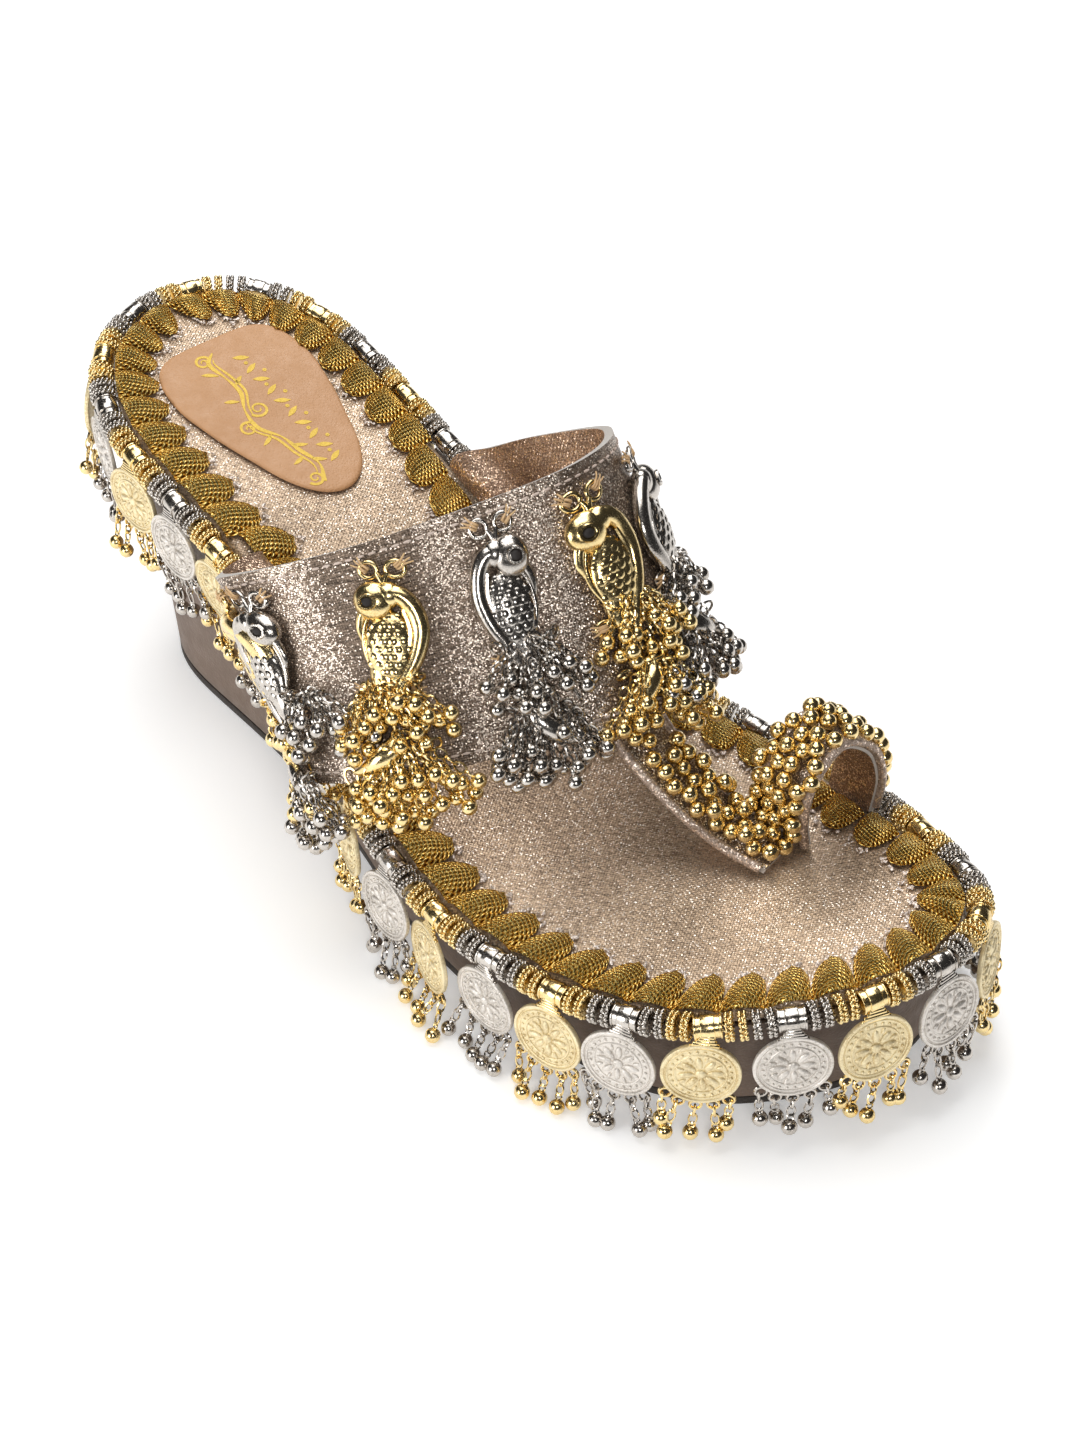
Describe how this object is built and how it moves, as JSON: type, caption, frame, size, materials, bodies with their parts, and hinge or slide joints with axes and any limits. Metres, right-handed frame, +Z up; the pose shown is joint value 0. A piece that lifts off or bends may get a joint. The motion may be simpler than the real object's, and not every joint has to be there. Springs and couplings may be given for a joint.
{
  "type": "wedge heel sandal",
  "caption": "Right-foot wedge slide with a wide instep band, a toe strap and loop, peacock charms, thread petals and a hanging trim of plain coins.",
  "frame": {"origin": "bottom centre of the box round the shoe, on the floor", "axes": "-Y from heel to toe, +X towards the big-toe side, +Z up"},
  "size_m": [0.115, 0.2558, 0.1011],
  "materials": {
    "rubber": "matt black rubber sheet",
    "taupe_covering": "smooth taupe covering with a dull sheen",
    "rose_fabric": "rose-gold foiled fabric with a fine weave",
    "gold_thread": "metallic gold thread embroidery",
    "tan_leather": "smooth tan lining leather",
    "shimmer_fabric": "pinkish taupe fabric with rose-gold shimmer",
    "gold_plate": "bright pale gold plate",
    "silver_plate": "polished silver plate"
  },
  "bodies": {
    "root": {"outsole": "rubber", "wedge_platform": "taupe_covering", "footbed": "rose_fabric", "petal_edging": "gold_thread", "heel_sock": "tan_leather", "upper": "shimmer_fabric", "bead_trim": "gold_plate", "bead_cover": "gold_plate", "coin_pendant_01": "silver_plate", "coin_pendant_02": "gold_plate", "coin_pendant_03": "silver_plate", "coin_pendant_04": "gold_plate", "coin_pendant_05": "silver_plate", "coin_pendant_06": "gold_plate", "coin_pendant_07": "silver_plate", "coin_pendant_08": "gold_plate", "coin_pendant_09": "silver_plate", "coin_pendant_10": "gold_plate", "coin_pendant_11": "silver_plate", "coin_pendant_12": "gold_plate", "coin_pendant_13": "silver_plate", "coin_pendant_14": "gold_plate", "coin_pendant_15": "silver_plate", "coin_pendant_16": "gold_plate", "coin_pendant_17": "silver_plate", "coin_pendant_18": "gold_plate", "coin_pendant_19": "silver_plate", "coin_pendant_20": "gold_plate", "coin_pendant_21": "silver_plate", "coin_pendant_22": "gold_plate", "coin_pendant_23": "silver_plate", "coin_pendant_24": "gold_plate", "coin_pendant_25": "silver_plate", "coin_pendant_26": "gold_plate", "coin_pendant_27": "silver_plate", "coin_pendant_28": "gold_plate", "coin_pendant_29": "silver_plate", "coin_pendant_30": "gold_plate", "coin_pendant_31": "silver_plate", "coin_pendant_32": "gold_plate", "coin_pendant_33": "silver_plate", "coin_pendant_34": "gold_plate", "coin_pendant_35": "silver_plate", "coin_pendant_36": "gold_plate", "peacock_charm_1": "gold_plate", "peacock_charm_2": "silver_plate", "peacock_charm_3": "gold_plate", "peacock_charm_4": "silver_plate", "peacock_charm_5": "gold_plate", "peacock_charm_6": "silver_plate"}
  },
  "joints": []
}
